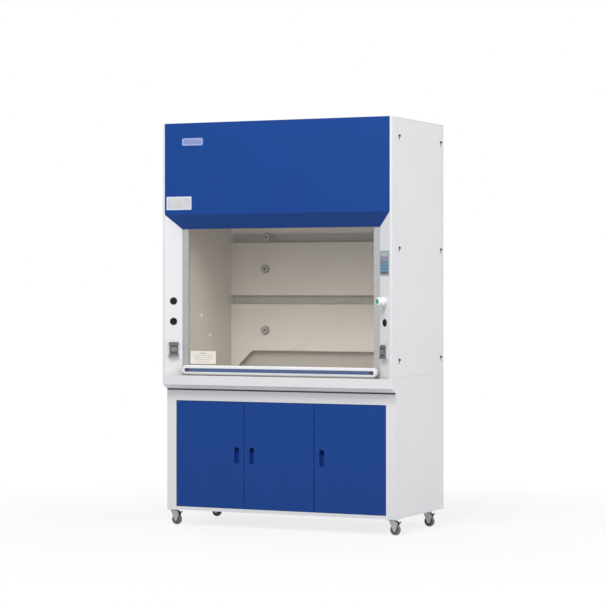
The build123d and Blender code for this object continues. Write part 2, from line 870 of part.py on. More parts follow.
# Baffle fixings: round knobs on spindles that stand on the rear liner, and larger
# spacers in the upper slot that hold the foot of the top baffle.
baffle_space = rear_liner_front - baffle_back
fixing_rows = (
    (knob_spread, lower_knob_z, knob_diameter),
    (knob_spread, upper_knob_z, knob_diameter),
    (spacer_spread, spacer_z, spacer_diameter),
)
with BuildPart() as baffle_knobs:
    for spread, level, diameter in fixing_rows:
        with BuildSketch(front_plane(baffle_front)):
            with Locations((-spread, level), (spread, level)):
                Circle(diameter / 2)
        extrude(amount=knob_thickness, taper=10)
        with BuildSketch(front_plane(baffle_front)):
            with Locations((-spread, level), (spread, level)):
                Circle(spindle_diameter / 2)
        extrude(amount=-heavy_sheet)
        with BuildSketch(front_plane(baffle_back)):
            with Locations((-spread, level), (spread, level)):
                Circle(spindle_diameter / 2 + 4)
        extrude(amount=-baffle_space)
write(baffle_knobs, "baffle_knobs")


# Sash: a pane between grey tracks, with a handle bar along its lower edge and a rail
# along its upper edge, hung on two cables that run over pulleys to counterweights.
glass_front = front + glass_setback - glass_thickness / 2
glass_back = glass_front + glass_thickness
handle_bottom = worktop_top + handle_lift
glass_bottom = handle_bottom + glass_seat
glass_top = flap_bottom + glass_overlap
glass_half = chamber_half - glass_inset
track_inner = chamber_half - track_width
slot_front = glass_front - track_clearance
slot_back = glass_back + track_clearance
track_front = slot_front - track_wall
track_back = slot_back + track_wall
clamp_half = track_inner - clamp_end_gap

with BuildPart() as sash_glass:
    with BuildSketch(front_plane(glass_front)):
        span(-glass_half, glass_half, glass_bottom, glass_top)
    extrude(amount=-glass_thickness)
write(sash_glass, "sash_glass")

handle_half = chamber_half - handle_end_gap
handle_back = track_front - 2.0
handle_z = handle_bottom + handle_height / 2
strip_half = handle_half - strip_end_margin
clamp_back = glass_back + clamp_wall
with BuildPart() as sash_handle:
    with BuildSketch(front_plane(handle_back, 0, handle_z)):
        RectangleRounded(2 * handle_half, handle_height, handle_height / 2 - 0.5)
    extrude(amount=handle_depth)
    fillet(sash_handle.faces().sort_by(Axis.Y)[0].edges(), 8)
    with BuildSketch(front_plane(handle_back - handle_depth, 0, handle_z)):
        RectangleRounded(2 * strip_half, strip_height, 4)
    extrude(amount=-strip_depth, mode=Mode.SUBTRACT)
    with BuildSketch(front_plane(handle_back - 1)):
        span(-clamp_half, clamp_half, handle_bottom + 2, handle_bottom + clamp_height)
    extrude(amount=-(clamp_back - handle_back + 1))
    with BuildSketch(front_plane(glass_front - grip)):
        span(-half_width, half_width, glass_bottom, glass_bottom + 100)
    extrude(amount=-glass_thickness - 2 * grip, mode=Mode.SUBTRACT)
write(sash_handle, "sash_handle")

with BuildPart() as handle_strip:
    with BuildSketch(front_plane(handle_back - handle_depth + strip_depth, 0, handle_z)):
        RectangleRounded(2 * strip_half - 2 * grip, strip_height - 2 * grip, 4)
    extrude(amount=strip_depth - 0.5)
write(handle_strip, "handle_strip")

# Top rail: a channel over the upper edge of the glass, with an ear at each end that
# reaches behind the track to the cable.
rail_top = glass_top + rail_wall
rail_bottom = rail_top - rail_height
rail_front = glass_front - rail_wall
rail_back = glass_back + rail_wall
pulley_x = chamber_half + pulley_inset
pulley_y = front + pulley_setback
pulley_z = roof_top - pulley_drop
cable_up_x = pulley_x - pulley_radius
cable_down_x = pulley_x + pulley_radius
with BuildPart() as sash_top_rail:
    with BuildSketch(Plane.XY.offset(rail_bottom)):
        span(-clamp_half, clamp_half, rail_front, rail_back)
        for side in (-1, 1):
            span(*sorted((side * (clamp_half - ear_width), side * clamp_half)),
                 rail_back - 1, pulley_y + ear_half)
            span(*sorted((side * (clamp_half - ear_width), side * (cable_up_x + 7))),
                 pulley_y - ear_half, pulley_y + ear_half)
    extrude(amount=rail_height)
    with BuildSketch(front_plane(glass_front - grip)):
        span(-half_width, half_width, rail_bottom - 1, glass_top)
    extrude(amount=-glass_thickness - 2 * grip, mode=Mode.SUBTRACT)
write(sash_top_rail, "sash_top_rail")

# Tracks: aluminium channels beside the posts. Each carries a bracket with the stub axle
# of its pulley.
track_top = roof_top - sheet - seat_gap
track_outer = chamber_half - seat_gap
bracket_back = pulley_y - pulley_width / 2 - bracket_clearance
bracket_bottom = pulley_z - bracket_reach
axle_end = pulley_y + pulley_width / 2 + 1
pulley_axle_radius = pulley_axle_diameter / 2


def sash_track(name, side):
    """Track with its pulley bracket and stub axle."""
    with BuildPart() as track:
        with BuildSketch(Plane.XY.offset(worktop_top)):
            span(*sorted((side * track_inner, side * track_outer)), track_front, track_back)
            span(*sorted((side * (track_inner - 1), side * (glass_half + 4))), slot_front, slot_back,
                 mode=Mode.SUBTRACT)
        extrude(amount=track_top - worktop_top)
        with BuildSketch(front_plane(track_back)):
            span(*sorted((side * (track_inner + 10), side * track_outer)),
                 bracket_bottom, bracket_bottom + bracket_seat)
        extrude(amount=track_back - bracket_back)
        with BuildSketch(front_plane(bracket_back)):
            span(*sorted((side * (track_inner + 10), side * (pulley_x + 15))),
                 bracket_bottom, pulley_z + 12)
        extrude(amount=bracket_back - track_back)
        with BuildSketch(front_plane(axle_end, side * pulley_x, pulley_z)):
            Circle(pulley_axle_radius)
        extrude(amount=axle_end - bracket_back + 1)
        with BuildSketch(front_plane(axle_end + 2, side * pulley_x, pulley_z)):
            Circle(pulley_axle_radius + 2)
        extrude(amount=2)
    write(track, name)


def sash_pulley(name, side):
    """Grooved pulley that the cable lies in."""
    half = pulley_width / 2
    groove = pulley_radius - cable_diameter / 2 - seat_gap
    rim = pulley_radius + 3
    with BuildPart() as pulley:
        with BuildSketch(side_plane(side * pulley_x, pulley_y, pulley_z)):
            Polygon(
                (-half, pulley_axle_radius + running_gap),
                (half, pulley_axle_radius + running_gap),
                (half, rim),
                (2, groove),
                (-2, groove),
                (-half, rim),
                align=None,
            )
        revolve(axis=Axis((side * pulley_x, pulley_y, pulley_z), (0, 1, 0)))
    write(pulley, name)


def counterweight(name, side):
    """Steel counterweight with an eye block that the cable ends in."""
    weight_top = pulley_z - weight_drop
    with BuildPart() as weight:
        with BuildSketch(Plane.XY.offset(weight_top - weight_height)):
            with Locations((side * cable_down_x, pulley_y)):
                Rectangle(weight_width, weight_depth)
        extrude(amount=weight_height)
        chamfer(weight.edges().filter_by(Axis.Z), 4)
    write(weight, name)


for side, side_name in ((-1, "left"), (1, "right")):
    sash_track("sash_track_" + side_name, side)
    sash_pulley("pulley_" + side_name, side)
    counterweight("counterweight_" + side_name, side)

# Cables: the straight runs from the sash up to the pulleys and from the pulleys down to
# the counterweights.
with BuildPart() as sash_cables:
    with BuildSketch(Plane.XY.offset(rail_top)):
        with Locations((-cable_up_x, pulley_y), (cable_up_x, pulley_y)):
            Circle(cable_diameter / 2)
    extrude(amount=pulley_z - rail_top)
write(sash_cables, "sash_cables")

with BuildPart() as weight_cables:
    with BuildSketch(Plane.XY.offset(pulley_z - weight_drop)):
        with Locations((-cable_down_x, pulley_y), (cable_down_x, pulley_y)):
            Circle(cable_diameter / 2)
    extrude(amount=weight_drop)
write(weight_cables, "weight_cables")


# Services on the bevelled faces of the posts. Plugs: dished blanking plugs, snapped in.
plug_head = 4.0
plug_snap = 4.0
with BuildPart() as service_plugs:
    for side, levels in plug_places.items():
        face = post_face(side, side * bevel_middle)
        for level in levels:
            with BuildSketch(face):
                with Locations((0, level)):
                    Circle(plug_diameter / 2)
            extrude(amount=plug_head, taper=25)
            with BuildSketch(face.offset(plug_head)):
                with Locations((0, level)):
                    Circle(plug_dish_diameter / 2)
            extrude(amount=-plug_head / 2, taper=20, mode=Mode.SUBTRACT)
            with BuildSketch(face):
                with Locations((0, level)):
                    Circle(plug_hole_diameter / 2)
            extrude(amount=-sheet - plug_snap)
write(service_plugs, "service_plugs")

# Control panel: a moulded keypad housing with a raised rim and a sunk face.
panel_rim = 6.0
panel_sink = 1.0
with BuildPart() as control_panel:
    panel_face = post_face(1, bevel_middle)
    with BuildSketch(panel_face):
        with Locations((0, panel_z)):
            RectangleRounded(panel_width, panel_height, 4)
    extrude(amount=panel_thickness, taper=15)
    with BuildSketch(panel_face.offset(panel_thickness)):
        with Locations((0, panel_z)):
            RectangleRounded(panel_width - 2 * panel_rim, panel_height - 2 * panel_rim, 3)
    extrude(amount=-panel_sink, mode=Mode.SUBTRACT)
write(control_panel, "control_panel")

# Valve: a round body clamped through the post, with a spindle in the bore of its knob.
valve_face = post_face(1, bevel_middle)
valve_axis_plane = Plane(
    origin=valve_face.from_local_coords(Vector(0, valve_z, 0)),
    x_dir=valve_face.x_dir,
    z_dir=valve_face.z_dir,
)
valve_axis = Axis(valve_axis_plane.origin, valve_axis_plane.z_dir)
valve_round = 3.0
with BuildPart() as valve_body:
    with BuildSketch(valve_axis_plane):
        Circle(valve_diameter / 2)
    extrude(amount=valve_collar)
    fillet(valve_body.faces().sort_by(valve_axis)[-1].edges(), valve_round)
    with BuildSketch(valve_axis_plane.offset(valve_collar)):
        Circle(valve_spindle_diameter / 2)
    extrude(amount=valve_spindle)
    with BuildSketch(valve_axis_plane):
        Circle(valve_tail_diameter / 2)
    extrude(amount=-valve_tail)
write(valve_body, "valve_body")

# Valve knob: a waisted neck that widens into a thick round end.
with BuildPart() as valve_knob:
    with BuildSketch(valve_axis_plane.offset(valve_collar + seat_gap)):
        Circle(knob_neck_diameter / 2)
    with BuildSketch(valve_axis_plane.offset(valve_collar + knob_neck)):
        Circle(knob_neck_diameter / 2 + 2)
    loft()
    with BuildSketch(valve_axis_plane.offset(valve_collar + knob_neck)):
        Circle(knob_end_diameter / 2)
    extrude(amount=knob_end)
    fillet(valve_knob.faces().sort_by(valve_axis)[-1].edges(), valve_round)
    with BuildSketch(valve_axis_plane.offset(valve_collar)):
        Circle(valve_spindle_diameter / 2 + running_gap)
    extrude(amount=valve_spindle + 1, mode=Mode.SUBTRACT)
write(valve_knob, "valve_knob")

# Socket boxes: one on each post, with a sunk face and ears that hold the cover's pin.
socket_sizes = {
    -1: (left_socket_width, left_socket_height),
    1: (right_socket_width, right_socket_height),
}
ear_front = cover_pin_diameter / 2 + 2
ear_rise = cover_pin_rise + ear_front
socket_margin = 7.0


def cover_pin_plane(side, x):
    """Plane across a cover's pin: its x runs up the post and its y out of it."""
    face = post_face(side, side * bevel_middle)
    pin_z = socket_z + socket_sizes[side][1] / 2 + cover_pin_rise
    return Plane(
        origin=face.from_local_coords(Vector(x, pin_z, socket_depth)),
        x_dir=face.y_dir,
        z_dir=face.x_dir,
    )


with BuildPart() as socket_boxes:
    for side, (width, height) in socket_sizes.items():
        face = post_face(side, side * bevel_middle)
        high = socket_z + height / 2
        with BuildSketch(face):
            with Locations((0, socket_z)):
                RectangleRounded(width, height, 4)
        extrude(amount=socket_depth)
        with BuildSketch(face.offset(socket_depth)):
            with Locations((0, socket_z)):
                RectangleRounded(width - 2 * socket_margin, height - 3 * socket_margin, 6)
        extrude(amount=-socket_sink, mode=Mode.SUBTRACT)
        for end in (-width / 2, width / 2 - ear_thickness):
            with BuildSketch(face):
                span(end, end + ear_thickness, high - ear_root, high + ear_rise)
            extrude(amount=socket_depth + ear_front)
        with BuildSketch(cover_pin_plane(side, -width / 2 - 1)):
            Circle(cover_pin_diameter / 2 + running_gap)
        extrude(amount=width + 2, mode=Mode.SUBTRACT)
write(socket_boxes, "socket_boxes")

knuckle_radius = cover_pin_diameter / 2 + 1.5
ear_corner = math.hypot(cover_pin_rise + ear_root, ear_front)


def socket_cover(name, side):
    """Lift-up cover: a waisted cap with a flared lip, on a cross pin in the ears of the box."""
    width, height = socket_sizes[side]
    face = post_face(side, side * bevel_middle)
    low = socket_z - height / 2
    high = socket_z + height / 2
    top = high + cover_pin_rise - ear_corner - 2 * seat_gap
    inner = width / 2 - ear_thickness - seat_gap
    waist = width / 2 - cover_waist
    with BuildPart() as cover:
        with BuildSketch(face.offset(socket_depth + seat_gap)) as outline:
            Polygon(
                (-width / 2, top),
                (-waist, top - cover_flare),
                (-waist, low + cover_flare),
                (-width / 2, low),
                (width / 2, low),
                (waist, low + cover_flare),
                (waist, top - cover_flare),
                (width / 2, top),
                align=None,
            )
        extrude(amount=cover_thickness, taper=8)
        with BuildSketch(face.offset(socket_depth + seat_gap)):
            offset(outline.sketch, amount=-2 * cover_wall, kind=Kind.INTERSECTION)
        extrude(amount=cover_thickness - cover_wall, taper=8, mode=Mode.SUBTRACT)
        with BuildSketch(cover_pin_plane(side, -width / 2 + cover_wall)):
            Polygon(
                (low - high - cover_pin_rise, cover_thickness - 2 * cover_wall),
                (low - high - cover_pin_rise, cover_thickness + cover_lip),
                (low - high - cover_pin_rise + cover_wall, cover_thickness + cover_lip),
                (low - high - cover_pin_rise + cover_flare, cover_thickness - cover_wall),
                align=None,
            )
        extrude(amount=width - 2 * cover_wall)
        with BuildSketch(cover_pin_plane(side, 0)):
            Circle(cover_pin_diameter / 2)
        extrude(amount=width / 2, both=True)
        with BuildSketch(cover_pin_plane(side, 0)):
            Circle(knuckle_radius)
        extrude(amount=inner, both=True)
        with BuildSketch(face.offset(socket_depth + seat_gap)):
            span(-inner, inner, top - cover_wall, high + cover_pin_rise)
        extrude(amount=knuckle_radius)
    write(cover, name)


socket_cover("socket_cover_left", -1)
socket_cover("socket_cover_right", 1)
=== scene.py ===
import math

import bmesh
import bpy
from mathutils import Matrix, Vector


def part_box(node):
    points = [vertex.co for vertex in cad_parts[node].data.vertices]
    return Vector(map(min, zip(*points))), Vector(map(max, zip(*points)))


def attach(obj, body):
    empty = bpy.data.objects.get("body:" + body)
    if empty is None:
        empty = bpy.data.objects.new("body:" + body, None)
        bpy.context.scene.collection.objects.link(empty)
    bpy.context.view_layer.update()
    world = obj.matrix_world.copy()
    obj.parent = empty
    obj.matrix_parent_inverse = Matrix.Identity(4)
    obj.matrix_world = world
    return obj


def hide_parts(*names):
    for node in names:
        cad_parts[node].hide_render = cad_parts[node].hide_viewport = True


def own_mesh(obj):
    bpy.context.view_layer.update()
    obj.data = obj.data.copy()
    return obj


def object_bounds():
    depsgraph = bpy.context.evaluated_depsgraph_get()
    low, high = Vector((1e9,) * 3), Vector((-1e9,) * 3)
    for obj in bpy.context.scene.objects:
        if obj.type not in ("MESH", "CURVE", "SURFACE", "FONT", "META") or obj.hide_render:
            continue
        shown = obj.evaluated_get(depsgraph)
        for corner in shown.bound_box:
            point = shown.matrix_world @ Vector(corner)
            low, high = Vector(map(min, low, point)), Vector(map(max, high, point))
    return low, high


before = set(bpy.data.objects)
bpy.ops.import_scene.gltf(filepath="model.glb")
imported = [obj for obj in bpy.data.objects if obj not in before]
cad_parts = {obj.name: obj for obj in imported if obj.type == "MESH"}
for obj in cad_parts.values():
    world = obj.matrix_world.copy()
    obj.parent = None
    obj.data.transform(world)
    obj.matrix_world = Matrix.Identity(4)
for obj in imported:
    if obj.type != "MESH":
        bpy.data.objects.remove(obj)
cad_low, cad_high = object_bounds()


# Studio: the hood stands on a painted floor in front of a white background, in the even,
# soft light of a product photograph.
def linear(code):
    """An sRGB hex colour as the linear values that the shaders take."""
    channels = [int(code[place:place + 2], 16) / 255 for place in (1, 3, 5)]
    curve = [c / 12.92 if c <= 0.04045 else ((c + 0.055) / 1.055) ** 2.4 for c in channels]
    return (*curve, 1.0)


def add_node(tree, kind, inputs=None, **settings):
    """Add a node with its settings, and set or link its inputs by name or number."""
    node = tree.nodes.new(kind)
    for name, value in settings.items():
        setattr(node, name, value)
    for key, value in (inputs or {}).items():
        socket = node.inputs[key]
        if isinstance(value, bpy.types.NodeSocket):
            tree.links.new(value, socket)
        else:
            socket.default_value = value
    return node


def bare_material(name):
    """A new material, and its emptied node tree."""
    material = bpy.data.materials.new(name)
    material.use_nodes = True
    material.node_tree.nodes.clear()
    return material, material.node_tree


def seen_share(tree):
    """A socket that is 1 for what is seen straight on, mirrored or through glass."""
    path = add_node(tree, "ShaderNodeLightPath")
    mirrored = add_node(tree, "ShaderNodeMath", {
        0: path.outputs["Is Camera Ray"], 1: path.outputs["Is Glossy Ray"]}, operation="MAXIMUM")
    seen = add_node(tree, "ShaderNodeMath", {
        0: mirrored.outputs[0], 1: path.outputs["Is Transmission Ray"]}, operation="MAXIMUM")
    return seen.outputs[0]


scene = bpy.context.scene
scene.view_settings.view_transform = "Standard"
white = linear("#FFFFFF")

# The air lights the shadows weakly, and is seen as plain white
fill_strength = 0.36
world = bpy.data.worlds.new("studio_air")
world.use_nodes = True
scene.world = world
air = world.node_tree
air.nodes.clear()
share = seen_share(air)
fill = add_node(air, "ShaderNodeBackground", {"Color": linear("#F4F5F8"), "Strength": fill_strength})
shown = add_node(air, "ShaderNodeBackground", {"Color": white, "Strength": 1.0})
blend = add_node(air, "ShaderNodeMixShader", {0: share, 1: fill.outputs[0], 2: shown.outputs[0]})
add_node(air, "ShaderNodeOutputWorld", {"Surface": blend.outputs[0]})

# Near the hood the floor keeps its shadow, and 3 m away it has melted into the white
shadow_reach = 1.2
melted_reach = 3.0
near_glow = 0.8
floor_material, tree = bare_material("painted_studio_floor")
share = seen_share(tree)
spot = add_node(tree, "ShaderNodeNewGeometry")
distance = add_node(tree, "ShaderNodeVectorMath", {0: spot.outputs["Position"]}, operation="LENGTH")
fade = add_node(tree, "ShaderNodeMapRange", {
    "Value": distance.outputs["Value"], "From Min": shadow_reach, "From Max": melted_reach,
    "To Min": near_glow, "To Max": 1.0})
glow_share = add_node(tree, "ShaderNodeMath", {0: share, 1: fade.outputs[0]}, operation="MULTIPLY")
paint = add_node(tree, "ShaderNodeBsdfDiffuse", {"Color": linear("#DADADC")})
glow = add_node(tree, "ShaderNodeEmission", {"Color": white, "Strength": 1.0})
blend = add_node(tree, "ShaderNodeMixShader", {
    0: glow_share.outputs[0], 1: paint.outputs[0], 2: glow.outputs[0]})
add_node(tree, "ShaderNodeOutputMaterial", {"Surface": blend.outputs[0]})

floor_half = 30.0
floor_mesh = bpy.data.meshes.new("studio_floor")
floor_mesh.from_pydata(
    [(floor_half * x, floor_half * y, 0) for x, y in ((-1, -1), (1, -1), (1, 1), (-1, 1))],
    [], [(0, 1, 2, 3)])
floor_mesh.materials.append(floor_material)
studio_floor = bpy.data.objects.new("studio_floor", floor_mesh)
scene.collection.objects.link(studio_floor)

# Square soft boxes that face the middle of the hood: name, place, width and power in watts
soft_boxes = (
    ("front_soft_box", (0.8, -5.6, 4.4), 3.0, 66),
    ("high_soft_box", (0.4, -4.4, 6.4), 2.4, 278),
    ("right_soft_box", (6.5, -1.0, 4.0), 3.0, 228),
    ("back_soft_box", (-5.5, 4.5, 4.5), 3.0, 200),
)
middle = Vector((0, 0, (cad_low[2] + cad_high[2]) / 2))
for name, place, width, power in soft_boxes:
    light = bpy.data.lights.new(name, "AREA")
    light.shape = "SQUARE"
    light.size = width
    light.energy = power
    soft_box = bpy.data.objects.new(name, light)
    soft_box.location = place
    soft_box.rotation_euler = (middle - Vector(place)).to_track_quat("-Z", "Y").to_euler()
    scene.collection.objects.link(soft_box)


# Camera: a long lens held level at chest height, 13 m from the hood and twenty-five degrees
# to its right. Its place and its shift were fitted to the photograph.
photograph_width = 607
shift_pixels = -15.5
camera_place = (5.5437, -11.8380, 1.3895)
camera_turn = 0.438
camera_data = bpy.data.cameras.new("camera")
camera_data.lens = 131.94
camera_data.sensor_width = 36.0
camera_data.shift_y = shift_pixels / photograph_width
camera_data.clip_end = 100
camera = bpy.data.objects.new("camera", camera_data)
camera.location = camera_place
camera.rotation_euler = (math.radians(90), 0, camera_turn)
scene.collection.objects.link(camera)
scene.camera = camera


# White cupboard, hood shell and posts: folded sheet steel, welded, phosphated and powder
# coated. The coat gives an even satin white with a faint orange peel and soft folds.
def powder_coat(name, colour, shade, roughness, reflection=0.5):
    """Powder coat on sheet metal: its colour drifts a little and its skin is finely pebbled."""
    # The film's thickness drifts over about 400 mm. Orange peel is about 1 mm across in life,
    # drawn at 4 mm so that it shows.
    drift_mm = 400
    peel_mm = 4
    material, tree = bare_material(name)
    place = add_node(tree, "ShaderNodeTexCoord")
    drift = add_node(tree, "ShaderNodeTexNoise", {
        "Vector": place.outputs["Object"], "Scale": 1000 / drift_mm, "Detail": 3.0})
    tint = add_node(tree, "ShaderNodeMix", {
        "Factor": drift.outputs["Fac"], 6: linear(colour), 7: linear(shade)}, data_type="RGBA")
    peel = add_node(tree, "ShaderNodeTexNoise", {
        "Vector": place.outputs["Object"], "Scale": 1000 / peel_mm, "Detail": 2.0})
    bump = add_node(tree, "ShaderNodeBump", {
        "Height": peel.outputs["Fac"], "Strength": 0.06, "Distance": 0.0006})
    gloss = add_node(tree, "ShaderNodeMapRange", {
        "Value": drift.outputs["Fac"], "To Min": roughness - 0.05, "To Max": roughness + 0.07})
    skin = add_node(tree, "ShaderNodeBsdfPrincipled", {
        "Base Color": tint.outputs[2], "Roughness": gloss.outputs[0], "Normal": bump.outputs[0],
        "IOR": 1.5, "Specular IOR Level": reflection})
    add_node(tree, "ShaderNodeOutputMaterial", {"Surface": skin.outputs[0]})
    return material


def round_edges(piece, width, segments, least_angle):
    """Round the edges where a piece turns by more than an angle in degrees."""
    edge = piece.modifiers.new("rounded_edges", "BEVEL")
    edge.width = width
    edge.segments = segments
    edge.limit_method = "ANGLE"
    edge.angle_limit = math.radians(least_angle)
    return edge


def finish_node(name, material, fold=0.0):
    """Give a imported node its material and, where it is folded or cast, softened edges."""
    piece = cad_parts[name]
    piece.data.materials.clear()
    piece.data.materials.append(material)
    if fold:
        round_edges(piece, fold, segments=2, least_angle=30).harden_normals = True


white_steel = powder_coat("white_powder_coat_on_steel", "#DDDDDE", "#D8D8DA", 0.42)
for name in ("base_carcass", "worktop_apron", "hood_side_left", "hood_side_right",
             "access_panel_left", "access_panel_right", "hood_back", "hood_roof",
             "post_left", "post_right"):
    finish_node(name, white_steel, fold=0.0006)


# Blue fascia and doors: one folded sheet across the front of the hood, and three pans that
# hang in the cupboard's frame. The coat is a deep blue satin, duller than the white one.
blue_steel = powder_coat("blue_powder_coat_on_steel", "#134089", "#113C80", 0.42, reflection=0.18)
for name in ("fascia", "door_left", "door_middle", "door_right"):
    finish_node(name, blue_steel, fold=0.0008)


# Worktop: one glazed ceramic slab, cast with its dished floor and laid in the apron. The
# glaze is pale grey and satin, with fine specks of a darker grey.
def plain_finish(name, colour, shade, roughness, metallic=0.0, grain_mm=16.67, relief=0.04, ior=1.5):
    """A cast, moulded or plated surface whose grain shows in colour, gloss and relief.

    A real grain that is too fine for the render is drawn as coarse as it needs to show.
    """
    gloss_spread = 0.06
    material, tree = bare_material(name)
    place = add_node(tree, "ShaderNodeTexCoord")
    speck = add_node(tree, "ShaderNodeTexNoise", {
        "Vector": place.outputs["Object"], "Scale": 1000 / grain_mm, "Detail": 4.0})
    tint = add_node(tree, "ShaderNodeMix", {
        "Factor": speck.outputs["Fac"], 6: linear(colour), 7: linear(shade)}, data_type="RGBA")
    gloss = add_node(tree, "ShaderNodeMapRange", {
        "Value": speck.outputs["Fac"],
        "To Min": roughness - gloss_spread, "To Max": roughness + gloss_spread})
    bump = add_node(tree, "ShaderNodeBump", {
        "Height": speck.outputs["Fac"], "Strength": relief, "Distance": 0.0005})
    skin = add_node(tree, "ShaderNodeBsdfPrincipled", {
        "Base Color": tint.outputs[2], "Roughness": gloss.outputs[0], "Metallic": metallic,
        "Normal": bump.outputs[0], "IOR": ior})
    add_node(tree, "ShaderNodeOutputMaterial", {"Surface": skin.outputs[0]})
    return material


ceramic = plain_finish("glazed_ceramic", "#A6A29A", "#9A958C", 0.35, grain_mm=8.33)
finish_node("worktop", ceramic, fold=0.002)


# Hinge pins and duct collar: headed steel pins pushed through the cupboard's frame into the
# doors, and a spun spigot that hangs by its flange on the roof. The zinc plating gives both
# a pale grey with soft reflections.
zinc = plain_finish("zinc_plated_steel", "#B4B4B6", "#9A9B9E", 0.4, metallic=0.8, grain_mm=5.56)
for name in ("door_hinge_pins", "duct_collar"):
    finish_node(name, zinc)


# Finger pulls: a dull dark blue sheet in the pressed pocket of each door is painted shade, and
# a nearly black patch at its head is painted shadow.
def rounded_outline(width, height, corner):
    """Points of a rounded rectangle about its middle, anticlockwise."""
    steps = 6
    points = []
    for turn, (side_x, side_y) in enumerate(((1, 1), (-1, 1), (-1, -1), (1, -1))):
        for step in range(steps + 1):
            angle = math.radians(90 * (turn + step / steps))
            points.append((side_x * (width / 2 - corner) + corner * math.cos(angle),
                           side_y * (height / 2 - corner) + corner * math.sin(angle)))
    return points


def add_piece(name, mesh, material, body):
    """Turn a finished mesh into a piece with its material and body."""
    data = bpy.data.meshes.new(name)
    mesh.to_mesh(data)
    mesh.free()
    data.materials.append(material)
    piece = bpy.data.objects.new(name, data)
    scene.collection.objects.link(piece)
    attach(piece, body)
    return piece


def blank(name, outline, place, material, body, thickness, across=(1, 0, 0), rolled=0.0004):
    """A flat upright blank with that outline, standing out from its place on a face."""
    thickest_roll = 0.45
    across = Vector(across)
    up = Vector((0, 0, 1))
    out = across.cross(up)
    mesh = bmesh.new()
    back, face = [
        [mesh.verts.new(Vector(place) + across * x + up * y + out * lift) for x, y in outline]
        for lift in (0.0, thickness)]
    mesh.faces.new(face)
    mesh.faces.new(list(reversed(back)))
    for step in range(len(outline)):
        after = (step + 1) % len(outline)
        mesh.faces.new((back[step], back[after], face[after], face[step]))
    piece = add_piece(name, mesh, material, body)
    if rolled:
        round_edges(piece, min(rolled, thickness * thickest_roll), segments=3, least_angle=40)


pull_edge = 0.047
pull_drop = 0.310
pull_depth = 0.013
head_shadow_rise = 0.031
# Painted shade in each pocket, with a darker painted shadow at its head
pull_shade_paint = plain_finish("dark_blue_pull_shade_paint", "#08337E", "#072D70", 0.7, grain_mm=5, ior=1.2)
pull_head_shadow = plain_finish("dark_pull_head_shadow", "#04114C", "#030E40", 0.8, grain_mm=5, ior=1.2)
for name in ("left", "middle", "right"):
    door = "door_" + name
    door_low, door_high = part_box(door)
    pull_x = door_high[0] - pull_edge if name == "left" else door_low[0] + pull_edge
    pull_y = door_low[1] + pull_depth
    pull_z = door_high[2] - pull_drop
    blank("pull_shade_paint_" + name, rounded_outline(width=0.0295, height=0.0945, corner=0.0118),
          (pull_x, pull_y, pull_z), pull_shade_paint, door, thickness=0.0008, rolled=0)
    blank("pull_head_shadow_" + name, rounded_outline(width=0.024, height=0.028, corner=0.008),
          (pull_x, pull_y, pull_z + head_shadow_rise), pull_head_shadow, door, thickness=0.0012, rolled=0)


# Badge and plate: a pressed badge and a thin silvered plate, both bare, glued to the fascia.
# Each is a rounded blank with a softly rolled edge and a raised field inside it. The brushed
# badge is a soft blue grey, and the plate is a brighter silver.
badge_rim = plain_finish("brushed_badge_rim", "#A3B0DE", "#95A3D4", 0.35, metallic=0.3, grain_mm=3.33)
badge_foil = plain_finish("brushed_badge_foil", "#8794C4", "#7A88BA", 0.35, metallic=0.3, grain_mm=3.33)
plate_rim = plain_finish("bright_plate_rim", "#DCE2F4", "#CFD6EC", 0.32, metallic=0.2, grain_mm=12.5)
plate_foil = plain_finish("silvered_plate_foil", "#D6D8D6", "#B4B2BC", 0.32, metallic=0.2, grain_mm=40)
fascia_low, fascia_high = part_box("fascia")
fascia_face = fascia_low[1]
badge_place = (-0.530, fascia_face, 2.2396)
plate_place = (-0.6195, fascia_face, 1.8835)
# Name, place, width, height, corner radius, thickness and finish
fascia_blanks = (
    ("fascia_badge", badge_place, 0.136, 0.043, 0.010, 0.0022, badge_rim),
    ("fascia_badge_field", badge_place, 0.120, 0.028, 0.006, 0.0028, badge_foil),
    ("fascia_plate", plate_place, 0.164, 0.077, 0.003, 0.0012, plate_rim),
    ("fascia_plate_field", plate_place, 0.150, 0.063, 0.003, 0.0016, plate_foil),
)
for name, place, width, height, corner, thickness, finish in fascia_blanks:
    blank(name, rounded_outline(width, height, corner), place, finish, "hood", thickness)


# Apron shadow: a thin dull dark strip in the joint between the apron and the cupboard, painted
# shadow that shows as a thin line under the apron's bevel.
# Painted shadow: a dark strip under the apron's overhang
apron_shadow_paint = plain_finish("dark_painted_apron_shadow", "#4E4E50", "#424244", 0.9, grain_mm=2, ior=1.2)
shadow_line_height = 0.009
shadow_line_end = 0.002
carcass_low, carcass_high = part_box("base_carcass")
shadow_line_length = carcass_high[0] - carcass_low[0] - 2 * shadow_line_end
blank("apron_shadow_line", rounded_outline(shadow_line_length, shadow_line_height, corner=0.002),
      ((carcass_low[0] + carcass_high[0]) / 2, carcass_low[1], carcass_high[2] - shadow_line_height / 2),
      apron_shadow_paint, "hood", thickness=0.003, rolled=0.0008)
